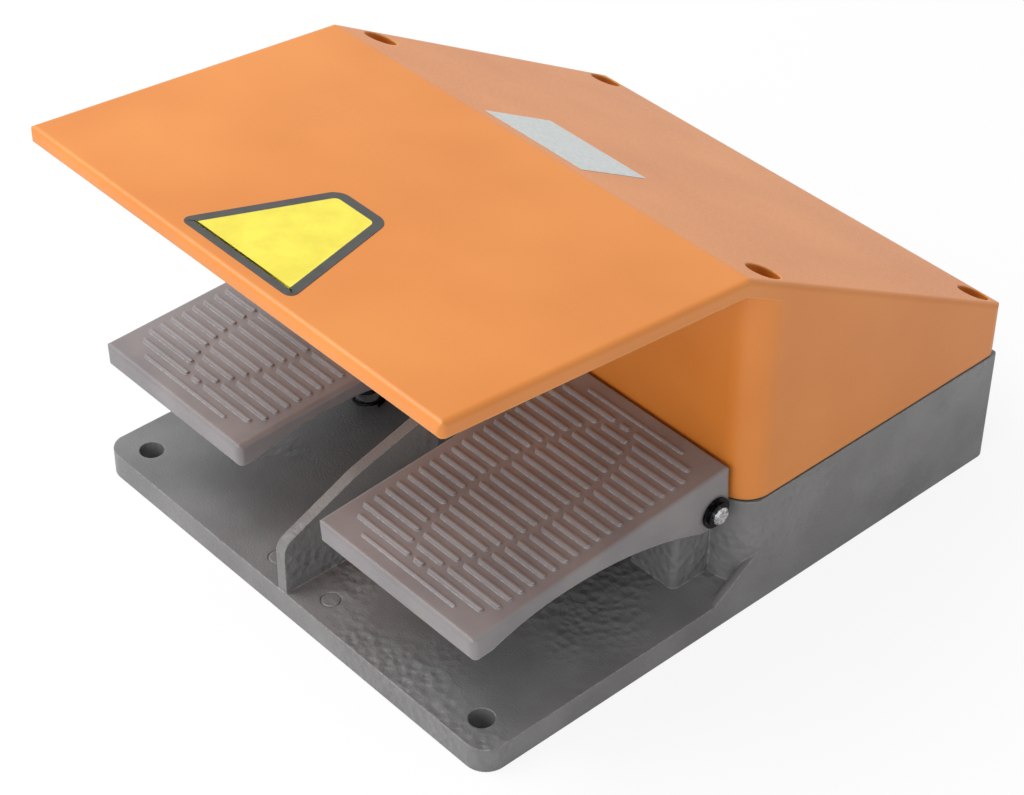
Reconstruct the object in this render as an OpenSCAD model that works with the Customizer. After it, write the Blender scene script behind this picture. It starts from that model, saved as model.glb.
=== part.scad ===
// Guarded twin-pedal foot switch: a cast base and hooded cover, two sprung pedals on pivot pins,
// push rods through the front wall and snap-action switches inside. Millimetres.
// X runs across the pedals, Y from the pedals to the rear wall and Z up. Sizes called "from the
// front" are measured from the front edge of the base plate.

/* [Base casting] */
// Width of the base plate at the floor
base_w = 250; // [236:1:290]
// Depth of the base from the front edge to the rear wall
base_d = 298.4; // [285:0.2:330]
// Thickness of the plate under the pedals
plate_t = 12; // [10:0.5:15]
// Height of the base walls, where the gasket lies
base_h = 55.2; // [52:0.2:58]
// Draft angle of the outer walls
draft = 1.1; // [0:0.1:2]
// Radius of the front corners of the plate
plate_corner_r = 10; // [4:1:14]
// Radius of the rear corners
rear_corner_r = 6; // [4:0.5:9]
// Radius of the upright corners beside the pedals
wall_corner_r = 15; // [12:0.5:18]
// Depth of the open pedal bay, from the front edge to the front wall
bay_d = 140.3; // [137:0.5:150]
// Thickness of the base walls
base_wall_t = 6; // [4.5:0.5:7]
// Thickness of the floor of the switch chamber
floor_t = 6; // [4:0.5:8]
// Depth of the coring pockets under the plate
core_depth = 7; // [4:0.5:7.5]
// Width of the rim and webs left between the pockets
core_rim = 8; // [6:0.5:12]
// Diameter of the mounting holes
mount_hole_d = 11; // [8:0.5:12]
// Distance of the mounting holes from the sides
mount_inset_x = 16.5; // [14:0.5:22]
// Distance of the mounting holes from the front
mount_inset_y = 13.5; // [12:0.5:20]

/* [Divider and gussets] */
// Thickness of the fin between the pedals
divider_t = 5.2; // [3:0.2:8]
// Height of the fin at its front edge
divider_front_h = 37; // [25:1:45]
// Height of the fin at its knee
divider_knee_h = 54; // [47:1:58]
// Distance of the knee from the front
divider_knee_y = 40; // [25:1:60]
// Height of the fin at the front wall
divider_rear_h = 82; // [62:1:95]
// Thickness of the side gussets
gusset_t = 5.4; // [3:0.2:8]
// Length of the side gussets in front of the wall
gusset_reach = 14.1; // [8:0.1:18]
// Slope of the side gussets
gusset_angle = 33; // [28:1:45]

/* [Cover] */
// Thickness of the gasket
gasket_t = 1.2; // [0.8:0.1:2]
// How far the gasket lies inside the edge of the cover
gasket_inset = 1; // [0.2:0.1:1.5]
// How far the cover stands back from the widest edge of the base
cover_inset = 1.3; // [1.2:0.1:3]
// Wall thickness of the cover
cover_wall_t = 4.5; // [3:0.5:6]
// Thickness of the hood
hood_t = 7.2; // [5:0.2:9]
// How far the hood reaches past the front edge
hood_overhang = 18.2; // [5:0.2:30]
// Height of the front edge of the hood
hood_front_h = 186; // [176:1:200]
// Height of the ridge
ridge_h = 172.6; // [160:0.2:175]
// Distance of the ridge from the front
ridge_y = 134; // [128:0.5:136]
// Height of the rear edge of the cover
cover_rear_h = 80.9; // [74:0.1:90]
// Radius of the hood's corners seen from above
hood_corner_r = 3.5; // [3:0.5:10]
// Radius of the long edges of the cover
cover_edge_r = 2.5; // [1:0.5:3.5]

/* [Cover screws] */
// Distance of the screws from the sides of the base
screw_inset_x = 11.8; // [11:0.1:13]
// Distance of the front screws behind the front wall
screw_inset_front = 11.3; // [11:0.1:14]
// Distance of the rear screws from the rear wall
screw_inset_rear = 10.5; // [10.2:0.1:13]
// Diameter of the screw wells
well_d = 14; // [11:0.5:15]
// Height of the well floor over the bottom of the cover
well_floor_h = 12; // [6:0.5:14]
// Diameter of the screw thread
screw_d = 6; // [5:0.5:6]
// Length of the screw under its head
screw_l = 26; // [20:1:40]
// Diameter of the screw posts in the base
post_d = 16; // [14:0.5:17]

/* [Pedals] */
// Width of one pedal
pedal_w = 92.6; // [80:0.2:96]
// Distance of the left pedal's centre line from the middle
left_pedal_x = 73.2; // [63:0.2:74]
// Distance of the right pedal's centre line from the middle
right_pedal_x = 70; // [63:0.2:74]
// Reach of the pedal in front of its pivot
pedal_reach = 128; // [115:0.2:129]
// Reach of the pedal behind its pivot
pedal_tail = 8.6; // [6:0.1:8.8]
// Height of the tread over the pivot
tread_rise = 18.5; // [17:0.1:21]
// Thickness of the tread plate
tread_t = 5; // [3:0.5:6]
// Thickness of the pedal's side skirts
skirt_t = 4.6; // [3:0.2:6]
// Depth of the front lip
lip_depth = 10.6; // [8:0.1:12]
// Thickness of the front lip
lip_t = 6; // [3:0.5:8]
// Radius of the front corners of the pedal
pedal_corner_r = 3; // [2:0.5:8]
// Radius of the upper edges of the pedal
pedal_edge_r = 2; // [0.5:0.5:3]
// Least depth of the side skirts, at the top of their arch
skirt_depth = 6.1; // [5.2:0.1:7]
// Distance of the top of the arch in front of the pivot
arch_y = 87; // [80:1:95]
// Radius of the arch from its top towards the pivot
arch_r = 170; // [160:5:200]
// Tilt of the right pedal at rest
right_tilt = 3.9; // [2.5:0.1:5]
// Tilt of the left pedal at rest
left_tilt = 1.8; // [1.5:0.1:5]

/* [Tread ribs] */
// Number of rows of ribs
rib_rows = 22; // [16:1:23]
// Distance from row to row
rib_pitch = 5.77; // [5:0.01:5.8]
// Width of one rib
rib_w = 2.6; // [1.5:0.1:3.5]
// Width of the single ribs at both ends
end_rib_w = 1.8; // [1.2:0.1:3]
// Height of one rib
rib_h = 1.2; // [0.5:0.1:1.5]
// Distance of the last row behind the pivot
rib_rear_y = 1; // [-2:0.1:2]
// Half length of the rows across the pedal
rib_reach = 40; // [34:0.5:42]
// Half length of the single ribs at both ends
end_rib_reach = 27.5; // [20:0.5:34]
// How much shorter the second rows are at each side
second_row_cut = 3.5; // [0:0.5:6]
// Half width of the lens in the middle
lens_a = 18.4; // [12:0.1:22]
// Half length of the lens in the middle
lens_b = 56.2; // [55:0.1:60]
// Gap between the rib ends along the lens
lens_gap = 3.2; // [2:0.1:5]

/* [Pivots] */
// Diameter of the pivot pins
pin_d = 8; // [6:0.5:8.5]
// Height of the pivot pins
pin_h = 55.5; // [54:0.5:58]
// Distance of the pivot pins from the front wall
pin_gap = 9.3; // [9.2:0.1:11]
// Running clearance of the pivots on each side
running_gap = 0.05; // [0.02:0.01:0.09]
// How far the pins stand out of the pedals
pin_end = 4.6; // [3.5:0.1:6]
// Length of the spacers between the pillars and the pedal's skirts
spacer_l = 5; // [3:0.1:8]
// Gap between the pillars of one pedal
pillar_gap = 19; // [18:0.5:24]
// Reach of the pillars in front of the wall
pillar_reach = 20; // [18:0.5:22]
// Height of the pillars over the pins
pillar_rise = 8; // [6.5:0.5:9]
// Outer diameter of the retaining clips
clip_d = 14.2; // [12:0.1:15]
// Thickness of the retaining clips
clip_t = 0.9; // [0.6:0.1:1.2]
// Outer diameter of the clips' raised hubs on the pins
hub_d = 10.6; // [9.5:0.1:11.5]
// Height of the clips' raised hubs
hub_t = 1.3; // [0.8:0.1:1.6]
// Depth of the clip grooves
groove_depth = 0.5; // [0.3:0.1:0.8]

/* [Heel and push rods] */
// Distance of the heel's nose below the pivot
heel_reach = 22; // [20:0.5:24]
// Radius of the heel's nose
nose_r = 4; // [3:0.5:4.5]
// Width of the heel
heel_w = 14; // [10:0.5:15]
// Free play between a heel and its push rod
play = 0.3; // [0.2:0.05:0.5]
// Diameter of the push rods
rod_d = 6; // [4:0.5:7]
// Length of the push rods
rod_l = 24; // [21:0.5:28]
// Outer diameter of the rod bushes
bush_d = 12; // [11.5:0.5:14]
// Diameter of the bush flanges
bush_flange_d = 18; // [16:0.5:20]
// Thickness of the bush flanges
bush_flange_t = 2.5; // [1.5:0.5:4]
// Thickness of the rod seals
seal_t = 1.6; // [1.2:0.1:1.8]

/* [Return springs] */
// Distance of the springs in front of the pivots
spring_y = 23; // [22:0.5:26]
// Outer diameter of the springs
spring_d = 16; // [13:0.5:17]
// Diameter of the spring wire
wire_d = 1.8; // [1.2:0.1:2.2]
// Turns of the springs
spring_turns = 9; // [7:1:10]
// Height of the spring spigots and cups
cup_h = 3; // [2:0.5:4]

/* [Switches] */
// Length of the switch case
switch_l = 49.2; // [47:0.2:50]
// Depth of the switch case, along the push rod
switch_depth = 24.2; // [22:0.2:26]
// Thickness of the switch case
switch_t = 17.5; // [15:0.5:19]
// Distance of the button from the middle of the case
button_shift = 4; // [0:0.5:6]
// Diameter of the button
button_d = 5; // [4:0.5:5.5]
// How far the button stands out at rest
button_out = 8; // [7.5:0.5:10]
// Distance between the switch screws
switch_screw_pitch = 25.4; // [24:0.1:28]
// Diameter of the switch screws
switch_screw_d = 4; // [3:0.5:4]
// Thickness of the switch plate
switch_plate_t = 2; // [1.5:0.5:3]

/* [Wiring] */
// Number of terminals in the block
block_ways = 6; // [4:1:8]
// Distance from terminal to terminal
block_pitch = 10; // [8:0.5:11]
// Depth of the terminal block
block_d = 22; // [18:1:26]
// Height of the terminal block
block_h = 17; // [14:1:20]
// Distance of the terminal block from the rear wall
block_from_rear = 62; // [52:1:66]
// Diameter of the cable gland's thread
gland_d = 20; // [16:1:22]
// Height of the cable gland's axis
gland_h = 34; // [28:1:38]
// Diameter of the cable hole in the gland's seal
cable_d = 10; // [7:0.5:11]

/* [Hidden] */

cast_grey = "#7d7d7d";
powder_orange = "#df8c46";
gasket_black = "#2a2622";
bright_steel = "#c4c7c9";
black_steel = "#2e2e30";
brass_yellow = "#c2a050";
bronze_brown = "#a97c4a";
switch_brown = "#4a2a22";
nylon_white = "#e4e1d8";
gland_grey = "#55585a";
rubber_black = "#222222";

$fn = 64;
fit_gap = 0.02;          // between pieces pressed or screwed together
seat_gap = 0.3;          // between a moving piece and its stop
eps = 0.01;
reach_all = 600;         // longer than the part, for cutting and framing
arc_steps = 6;

LEFT = -1;
RIGHT = 1;

// Base
rise_draft = base_h * tan(draft);
chamber_w = base_w - 2 * base_wall_t;
chamber_y = bay_d + base_wall_t;
chamber_d = base_d - base_wall_t - chamber_y;
inner_rear_r = 3;         // rear corners inside the base and the cover

// Cover
cover_z = base_h + gasket_t;
cover_w = base_w - 2 * cover_inset;
cover_rear_y = base_d - cover_inset;
hood_run = ridge_y + hood_overhang;
hood_dir = unit([-hood_run, hood_front_h - ridge_h]);
slope_dir = unit([cover_rear_y - ridge_y, cover_rear_h - ridge_h]);
hood_down = [-hood_dir[1], hood_dir[0]];
slope_down = [slope_dir[1], -slope_dir[0]];
ridge_point = [ridge_y, ridge_h];
hood_tip = [-hood_overhang, hood_front_h];
hood_under_tip = hood_tip + hood_t * hood_down;
hood_under_ridge = ridge_point + hood_t * (hood_down + slope_down) / (1 + hood_down * slope_down);
hood_angle = atan2(hood_dir[1], -hood_dir[0]);
slope_angle = atan2(-slope_dir[1], slope_dir[0]);
hood_under_wall_h = hood_under_tip[1] - (bay_d - hood_under_tip[0]) * tan(hood_angle);
ridge_r = 4;
screw_x = base_w / 2 - screw_inset_x;
screw_front_y = bay_d + screw_inset_front;
screw_rear_y = base_d - screw_inset_rear;
screw_head_d = 1.65 * screw_d;
screw_seat_z = cover_z + well_floor_h;
screw_hole_gap = 0.3;
well_wall_t = 3;
column_d = well_d + 2 * well_wall_t;

// Gland, on a flat pad of the rear wall
gland_flange_d = gland_d + 8;
gland_pad_d = gland_flange_d + 5;
gland_washer_t = 1.5;
gland_hex_t = 6;
gland_neck_l = 11;
gland_cap_l = 15;
gland_cap_lip = 3;
gland_cap_gap = 1;
gland_out = gland_washer_t + gland_hex_t + gland_cap_gap + gland_cap_l;
locknut_t = 5;
locknut_w = gland_d + 6;
gland_hex_w = gland_flange_d - 3;
gland_thread_end = 2;     // thread past the locknut
gland_bore_d = cable_d + 1.5;
gland_pocket_d = gland_d - 3.4;
gland_pocket_z = gland_washer_t + 2;
gland_neck_d = gland_d - 1;
gland_face = gland_washer_t + gland_hex_t;
gland_cap_d = gland_flange_d - 4;
gland_mouth_d = cable_d + 2;

// The origin lies under the middle of the whole part
front_y = -(base_d + gland_out + hood_under_tip[0]) / 2;

// Pedals and pivots
pedal_x = function(side) side == LEFT ? -left_pedal_x : right_pedal_x;
pin_y = bay_d - pin_gap;
pin_hole_d = pin_d + 2 * running_gap;
under_tread = tread_rise - tread_t;
lip_bottom = tread_rise - lip_depth;
arch_top = tread_rise - skirt_depth;
lip_foot = 9.8;           // flat underside of the lip, front to rear
arch_front_run = arch_y - pedal_reach + lip_foot;
arch_front_drop = arch_top - lip_bottom;
arch_front_r = (pow(arch_front_run, 2) + pow(arch_front_drop, 2)) / (2 * arch_front_drop);
pedal_boss_wall = 4.6;
boss_inset = 0.4;         // the round boss inside the skirt's lowest corner
pedal_boss_r = pin_d / 2 + pedal_boss_wall;
pillar_w = pedal_w / 2 - skirt_t - pillar_gap / 2 - spacer_l - 2 * seat_gap;
pillar_centre = (pillar_gap + pillar_w) / 2;
spacer_wall = 3;
spacer_d = pin_d + 2 * spacer_wall;
clip_x = pedal_w / 2 + seat_gap;
pin_l = pedal_w + 2 * pin_end;
groove_d = pin_d - 2 * groove_depth;
groove_w = clip_t + 0.2;

// Tread
tread_mid_y = rib_rear_y - rib_pitch * (rib_rows - 1) / 2;

// Rods
rod_z = pin_h - heel_reach;
rod_clip_d = rod_d + 5;
bush_hole_d = bush_d + 2 * fit_gap;
rod_hole_d = rod_d + 2 * running_gap;
seal_gap = 0.1;           // between a seal and the rod or the pocket
seal_pocket_d = rod_d + 2 * (seal_t + 1.5 * seal_gap);
rod_tip_y = function(tilt) pin_y + heel_reach * sin(tilt) + nose_r + play;
rod_clip_y = chamber_y + bush_flange_t + seat_gap;
rod_groove_from_tip = rod_clip_y - rod_tip_y(left_tilt);

// Springs
spigot_d = spring_d - 2 * wire_d - 2;
spring_r = (spring_d - wire_d) / 2;
cup_swing = 1.3;         // the cup's mean shift to the front as its pedal tilts
spring_line = pin_y - spring_y - cup_swing;
cup_gap = 1.8;
cup_wall_t = 2.5;
spring_foot_z = plate_t;
spring_top_z = function(tilt)
    pin_h + under_tread * cos(tilt) - (spring_y + cup_swing + spring_d / 2) * sin(tilt) - seat_gap;

// Switches, with the buttons on the rods' axes
button_play = 0.1;        // between a push rod and its button
button_root = 9;          // the button inside its switch at rest
button_bore = 15;         // depth of its bore
switch_top_y = rod_tip_y(right_tilt) + rod_l + button_play + button_out;
switch_bottom_z = rod_z - switch_t / 2;
switch_hole_d = switch_screw_d + 0.3;
switch_nut_d = 1.75 * switch_screw_d;
nut_t = 0.8 * switch_screw_d;
switch_screw_end = 1.2;   // thread past the nut
plate_bottom_z = switch_bottom_z - switch_plate_t;
post_edge = 7;
post_gap = 8.9;          // from a switch to the middle of the post beside it
post_shift = switch_l / 2 + post_gap;
switch_x = function(side) pedal_x(side) - side * button_shift;
switch_screw_y = switch_top_y + switch_depth / 2 + 4;
plate_front = 2;          // the switch plate in front of the switches
plate_rear = 6;           // and behind them
plate_post_d = 11;
plate_post_x = [for (side = [LEFT, RIGHT], end = [-1, 1]) switch_x(side) + end * post_shift];
plate_mid_x = (plate_post_x[0] + plate_post_x[3]) / 2;
plate_w = plate_post_x[3] - plate_post_x[0] + 2 * post_edge;
plate_screw_d = 5;
plate_screw_l = 12;
terminal_notch = [9, 8];

// Terminal block
block_end = 6;            // the block's ends beyond its outer terminals
block_w = block_ways * block_pitch + 2 * block_end;
block_y = base_d - block_from_rear;
block_screw_inset = 4;
block_screw_d = 3.5;
block_screw_l = 9;
block_screw_seat = 6;     // over the floor
block_step_h = 0.6 * block_h;
wire_hole_d = 4.4;
terminal_screw_d = 4;
terminal_screw_y = [0.32 * block_d, 0.68 * block_d];
earth_x = 62;
earth_y = base_d - 34;
earth_d = 5;
earth_screw_l = 8;
earth_washer_d = 12;
earth_washer_t = 1;
earth_boss_d = 14;
earth_boss_h = 4;
earth_head_z = floor_t + earth_boss_h + earth_washer_t;
screw_floor = 2;          // left under a blind screw hole

// Casting marks on the plate
mark_x = 17.4;
mark_y = 12;
mark_d = 9;
mark_line = 0.7;
mark_depth = 0.4;

function unit(v) = v / norm(v);

// Points of the arc that rounds corner b, between its neighbours a and c, to radius r
function corner_arc(a, b, c, r) =
    let (
        u = unit(a - b),
        v = unit(c - b),
        half = acos(u * v) / 2,
        centre = b + unit(u + v) * r / sin(half),
        p = b + u * r / tan(half) - centre,
        q = b + v * r / tan(half) - centre,
        from = atan2(p[1], p[0]),
        sweep = (atan2(q[1], q[0]) - from + 540) % 360 - 180
    )
    [for (i = [0:arc_steps]) let (a = from + sweep * i / arc_steps) centre + r * [cos(a), sin(a)]];

// Outline through corners [x, y, r], each rounded to its own radius; r = 0 keeps it sharp
function rounded(corners) =
    let (n = len(corners), at = function(i) [corners[(i + n) % n][0], corners[(i + n) % n][1]])
    [for (i = [0:n - 1]) each (
        corners[i][2] == 0 ? [at(i)] : corner_arc(at(i - 1), at(i), at(i + 1), corners[i][2])
    )];

// Moves a piece drawn from the front edge of the plate to its place about the origin
module from_front() {
    translate([0, front_y, 0]) children();
}

// Extrudes a Y-Z outline along X, centred, to width w
module across(w) {
    rotate([90, 0, 90]) linear_extrude(height = w, center = true) children();
}

// Extrudes an X-Z outline along Y from y0, over length l
module along(y0, l) {
    translate([0, y0 + l, 0]) rotate([90, 0, 0]) linear_extrude(height = l) children();
}

// Turns a piece made along +Z to run along +Y
module to_rear() {
    rotate([-90, 0, 0]) children();
}

// Turns a piece made along +Z to run along +X
module to_right() {
    rotate([0, 90, 0]) children();
}

module mirror_pair() {
    children();
    mirror([1, 0, 0]) children();
}

// Plan of width w from y0 to y0 + d with round corners, front_r at the front and rear_r behind
module plan(w, y0, d, front_r, rear_r) {
    translate([-w / 2, y0 + front_r]) square([w, d - front_r - rear_r]);
    translate([-w / 2 + front_r, y0]) square([w - 2 * front_r, d / 2]);
    translate([-w / 2 + rear_r, y0 + d / 2]) square([w - 2 * rear_r, d / 2]);
    mirror_pair() {
        translate([w / 2 - front_r, y0 + front_r]) circle(r = front_r);
        translate([w / 2 - rear_r, y0 + d - rear_r]) circle(r = rear_r);
    }
}

module ring(outer_d, inner_d, t) {
    linear_extrude(height = t) difference() {
        circle(d = outer_d);
        circle(d = inner_d);
    }
}

module hexagon(across_flats, t) {
    cylinder(d = across_flats / cos(30), h = t, $fn = 6);
}

// Spring clip for a grooved shaft, open towards +Y
module shaft_clip(shaft_d, outer_d) {
    mouth = 0.55 * shaft_d;
    notch_d = 0.2 * shaft_d;
    notch_turn = 118;
    linear_extrude(height = clip_t) difference() {
        circle(d = outer_d);
        circle(d = shaft_d - 2 * groove_depth + 2 * fit_gap);
        translate([-mouth / 2, 0]) square([mouth, outer_d]);
        for (turn = [-notch_turn, notch_turn]) {
            rotate(turn) translate([0, shaft_d / 2]) circle(d = notch_d);
        }
    }
}

// Screw with its head standing on z = 0 and its shank below; socket is the key's width
module screw(d, l, head_d, head_h, socket) {
    chamfer = head_h / 6;
    socket_floor = 0.45 * head_h;
    difference() {
        union() {
            translate([0, 0, -l]) cylinder(d = d, h = l + eps);
            cylinder(d = head_d, h = head_h - chamfer);
            translate([0, 0, head_h - chamfer]) cylinder(d1 = head_d, d2 = head_d - chamfer, h = chamfer);
        }
        translate([0, 0, socket_floor]) hexagon(socket, head_h);
    }
}

// Slotted pan-head screw, head standing on z = 0
module slotted_screw(d, l, head_d, head_h) {
    rim_h = 0.6 * head_h;
    top_d = 0.7 * head_d;
    slot_w = 0.12 * head_d;
    slot_floor = 0.55 * head_h;
    difference() {
        union() {
            translate([0, 0, -l]) cylinder(d = d, h = l + eps);
            cylinder(d = head_d, h = rim_h);
            translate([0, 0, rim_h]) cylinder(d1 = head_d, d2 = top_d, h = head_h - rim_h);
        }
        translate([-head_d, -slot_w / 2, slot_floor]) cube([2 * head_d, slot_w, head_h]);
    }
}

// ---- Base casting ----

// Space inside the drafted side and rear planes
module base_envelope() {
    intersection() {
        along(-1, reach_all) polygon([
            [-base_w / 2, 0], [base_w / 2, 0],
            [base_w / 2 - rise_draft, base_h], [-base_w / 2 + rise_draft, base_h]
        ]);
        across(reach_all) polygon([
            [-1, 0], [base_d, 0], [base_d - rise_draft, base_h], [-1, base_h]
        ]);
    }
}

module base_outside() {
    intersection() {
        union() {
            linear_extrude(height = plate_t) plan(base_w, 0, base_d, plate_corner_r, rear_corner_r);
            linear_extrude(height = base_h)
                plan(base_w, bay_d, base_d - bay_d, wall_corner_r, rear_corner_r);
            mirror_pair() gusset();
        }
        base_envelope();
    }
}

// Sloping web beside the pedal with a rounded bar for its crest, dying into the wall's corner
module gusset() {
    run = gusset_reach + wall_corner_r;
    half = gusset_t / 2;
    inner_r = 3.6;
    outer_r = 1;
    bar_depth = 5;
    web_start = 4;
    web_drop = 3;
    web_inset = 0.2;
    translate([base_w / 2 - half, bay_d - gusset_reach, plate_t]) {
        rotate([gusset_angle, 0, 0]) along(0, run / cos(gusset_angle)) polygon(rounded([
            [-half, -bar_depth, 0], [-half, 0, inner_r], [half, 0, outer_r], [half, -bar_depth, 0]
        ]));
        across(gusset_t - 2 * web_inset) polygon([
            [web_start, -1], [web_start, 0], [run, run * tan(gusset_angle) - web_drop], [run, -1]
        ]);
    }
}

module divider() {
    front = 0.6;
    front_r = 7;
    knee_r = 60;
    rear_r = 4;
    across(divider_t) polygon(rounded([
        [front, plate_t - 1, 0],
        [front, divider_front_h, front_r],
        [divider_knee_y, divider_knee_h, knee_r],
        [bay_d - seat_gap, divider_rear_h, rear_r],
        [bay_d - seat_gap, base_h, 0],
        [bay_d + 1, base_h, 0],
        [bay_d + 1, plate_t - 1, 0]
    ]));
}

// One pillar of a pivot, centred on x = 0
module pillar() {
    pillar_top = pin_h + pillar_rise;
    front = bay_d - pillar_reach;
    top_front_r = 6;
    top_rear_r = 2;
    corner_r = 3;
    intersection() {
        across(pillar_w) polygon(rounded([
            [front, plate_t - 1, 0],
            [front, pillar_top, top_front_r],
            [bay_d - seat_gap, pillar_top, top_rear_r],
            [bay_d - seat_gap, base_h, 0],
            [bay_d + 1, base_h, 0],
            [bay_d + 1, plate_t - 1, 0]
        ]));
        linear_extrude(height = pillar_top + 1) plan(pillar_w, front, pillar_reach + 2, corner_r, 1);
    }
}

module pillars() {
    for (side = [LEFT, RIGHT], place = [-pillar_centre, pillar_centre]) {
        translate([pedal_x(side) + place, 0, 0]) pillar();
    }
}

module chamber() {
    translate([0, 0, floor_t]) linear_extrude(height = base_h)
        plan(chamber_w, chamber_y, chamber_d, wall_corner_r - base_wall_t, inner_rear_r);
}

// Pockets cored out under the plate, two beside two on each side of the middle web
module core_pockets() {
    pocket_w = (base_w - 5 * core_rim) / 4;
    pocket_y = mount_inset_y + mount_hole_d / 2 + core_rim;
    pocket_d = (bay_d - pocket_y - 2 * core_rim) / 2;
    for (ix = [0:3], iy = [0:1]) {
        x = -base_w / 2 + core_rim + ix * (pocket_w + core_rim);
        y = pocket_y + iy * (pocket_d + core_rim);
        translate([x, y, -eps]) cube([pocket_w, pocket_d, core_depth + eps]);
    }
}

module at_cover_screws() {
    for (x = [-screw_x, screw_x], y = [screw_front_y, screw_rear_y]) {
        translate([x, y, 0]) children();
    }
}

module at_plate_posts() {
    for (x = plate_post_x) {
        translate([x, switch_top_y + switch_depth / 2, 0]) children();
    }
}

module at_block_screws() {
    for (side = [LEFT, RIGHT]) {
        translate([side * (block_w / 2 - block_screw_inset), block_y + block_d / 2, 0]) children();
    }
}

// What stands on the floor of the chamber and on the plate
module bosses() {
    at_cover_screws() translate([0, 0, floor_t - 1]) cylinder(d = post_d, h = base_h - floor_t + 1);
    at_plate_posts() translate([0, 0, floor_t - 1])
        cylinder(d = plate_post_d, h = plate_bottom_z - floor_t + 1);
    translate([earth_x, earth_y, floor_t - 1]) cylinder(d = earth_boss_d, h = earth_boss_h + 1);
    for (side = [LEFT, RIGHT]) {
        translate([pedal_x(side), spring_line, plate_t - 1]) cylinder(d = spigot_d, h = cup_h + 1);
    }
}

// Holes for the base's screws, blind from below
module screw_holes() {
    at_cover_screws() translate([0, 0, screw_seat_z - screw_l - seat_gap - screw_floor])
        cylinder(d = screw_d + 2 * fit_gap, h = base_h);
    at_plate_posts() translate([0, 0, floor_t + screw_floor])
        cylinder(d = plate_screw_d + 2 * fit_gap, h = base_h);
    at_block_screws() translate([0, 0, floor_t + block_screw_seat - block_screw_l - 2 * seat_gap])
        cylinder(d = block_screw_d + 2 * fit_gap, h = base_h);
    translate([earth_x, earth_y, earth_head_z - earth_screw_l - 2 * seat_gap])
        cylinder(d = earth_d + 2 * fit_gap, h = base_h);
}

module base_casting() {
    color(cast_grey) from_front() difference() {
        union() {
            difference() {
                union() {
                    base_outside();
                    divider();
                    pillars();
                    translate([0, base_d - base_wall_t, gland_h]) to_rear()
                        cylinder(d = gland_pad_d, h = base_wall_t);
                }
                chamber();
            }
            bosses();
        }
        core_pockets();
        screw_holes();
        for (side = [LEFT, RIGHT]) {
            translate([side * (base_w / 2 - mount_inset_x), mount_inset_y, -1])
                cylinder(d = mount_hole_d, h = plate_t + 2);
            translate([side * mark_x, mark_y, plate_t - mark_depth]) ring(mark_d, mark_d - 2 * mark_line, 1);
            translate([pedal_x(side), bay_d - 1, rod_z]) to_rear()
                cylinder(d = bush_hole_d, h = base_wall_t + 2);
        }
        translate([0, pin_y, pin_h]) to_right() cylinder(d = pin_d + 2 * fit_gap, h = base_w, center = true);
        translate([0, base_d - base_wall_t - 1, gland_h]) to_rear()
            cylinder(d = gland_d + 2 * fit_gap, h = base_wall_t + 2);
    }
}

// ---- Cover ----

// Endless bar under one of the roof's sloping faces, with rounded long edges
module roof_bar(angle) {
    half = cover_w / 2;
    translate([0, ridge_y, ridge_h]) rotate([angle + 90, 0, 0]) translate([0, 0, -reach_all])
        linear_extrude(height = 2 * reach_all) {
            translate([-half, -reach_all]) square([2 * half, reach_all - cover_edge_r]);
            translate([-half + cover_edge_r, -reach_all]) square([2 * half - 2 * cover_edge_r, reach_all]);
            for (x = [-half + cover_edge_r, half - cover_edge_r]) {
                translate([x, -cover_edge_r]) circle(r = cover_edge_r);
            }
        }
}

// Hood and roof skin, over the full width
module cover_roof() {
    lower_edge_r = 1.5;
    rear_edge_r = 3;
    front = hood_under_tip[0] - fit_gap;
    intersection() {
        across(cover_w) polygon(rounded([
            [hood_tip[0], hood_tip[1], cover_edge_r],
            [hood_under_tip[0], hood_under_tip[1], lower_edge_r],
            [hood_under_ridge[0], hood_under_ridge[1], ridge_r],
            [cover_rear_y, cover_rear_h - hood_t / cos(slope_angle), 0],
            [cover_rear_y, cover_rear_h, rear_edge_r],
            [ridge_y, ridge_h, ridge_r]
        ]));
        linear_extrude(height = reach_all)
            plan(cover_w, front, cover_rear_y - front, hood_corner_r, rear_corner_r);
    }
}

// Solid block that the walls are hollowed from, up into the roof
module cover_block() {
    top_y = ridge_y + 8;
    intersection() {
        across(cover_w) polygon([
            [bay_d, cover_z], [bay_d, hood_under_wall_h + 1],
            [top_y, ridge_h - (top_y - ridge_y) * tan(slope_angle) - 1],
            [cover_rear_y, cover_rear_h - 1], [cover_rear_y, cover_z]
        ]);
        linear_extrude(height = reach_all)
            plan(cover_w, bay_d, cover_rear_y - bay_d, wall_corner_r - cover_inset, rear_corner_r);
    }
}

module cover_outside() {
    intersection() {
        union() {
            cover_roof();
            cover_block();
        }
        roof_bar(-hood_angle);
        roof_bar(-slope_angle);
    }
}

module cover_chamber() {
    rear_in = cover_rear_y - cover_wall_t;
    front_in = bay_d + cover_wall_t;
    roof_drop = cover_wall_t / cos(slope_angle);
    roof_at = function(y) ridge_h - (y - ridge_y) * tan(slope_angle) - roof_drop;
    front_r = wall_corner_r - cover_inset - cover_wall_t;
    intersection() {
        across(cover_w) polygon([
            [front_in, cover_z - 1], [front_in, roof_at(front_in)],
            [rear_in, roof_at(rear_in)], [rear_in, cover_z - 1]
        ]);
        linear_extrude(height = reach_all)
            plan(cover_w - 2 * cover_wall_t, front_in, rear_in - front_in, front_r, inner_rear_r);
    }
}

module top_cover() {
    color(powder_orange) from_front() difference() {
        cover_outside();
        difference() {
            cover_chamber();
            at_cover_screws() cylinder(d = column_d, h = reach_all);
        }
        at_cover_screws() {
            translate([0, 0, screw_seat_z]) cylinder(d = well_d, h = reach_all);
            cylinder(d = screw_d + 2 * screw_hole_gap, h = reach_all);
        }
    }
}

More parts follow.
